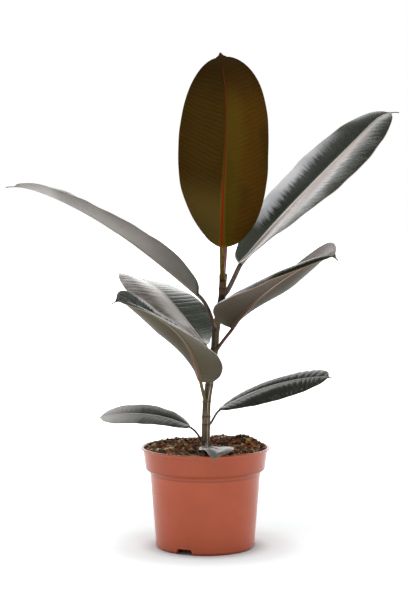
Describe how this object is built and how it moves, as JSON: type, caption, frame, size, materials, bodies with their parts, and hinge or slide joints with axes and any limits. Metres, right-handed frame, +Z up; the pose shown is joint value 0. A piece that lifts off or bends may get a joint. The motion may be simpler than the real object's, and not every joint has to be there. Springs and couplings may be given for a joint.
{
  "type": "potted rubber fig",
  "caption": "Young rubber fig with dark, glossy oval leaves on one upright stem, in a round tapered plastic nursery pot filled with soil.",
  "frame": {"origin": "centre of the pot's foot, on the pot's axis and on the surface that it stands on", "axes": "+Z up along the pot's axis, -Y towards the side that the picture shows, +X to the right of that view"},
  "size_m": [0.5345, 0.3742, 0.6389],
  "materials": {
    "terracotta_plastic": "satin terracotta-coloured moulded plastic",
    "potting_soil": "loose dark peat with bark crumbs",
    "stem_bark": "thin brown-green bark with node rings",
    "bud_sheath": "smooth reddish sheath",
    "leaf_blade": "waxy black-green above, matt brown-grey below, red midrib"
  },
  "bodies": {
    "root": {"pot": "terracotta_plastic", "soil": "potting_soil", "stem": "stem_bark", "bud": "bud_sheath", "leaf_top": "leaf_blade", "leaf_upper_right": "leaf_blade", "leaf_upper_left": "leaf_blade", "leaf_mid_right": "leaf_blade", "leaf_back_left": "leaf_blade", "leaf_front_left": "leaf_blade", "leaf_low_right": "leaf_blade", "leaf_low_left": "leaf_blade", "leaf_rim": "leaf_blade"}
  },
  "joints": []
}
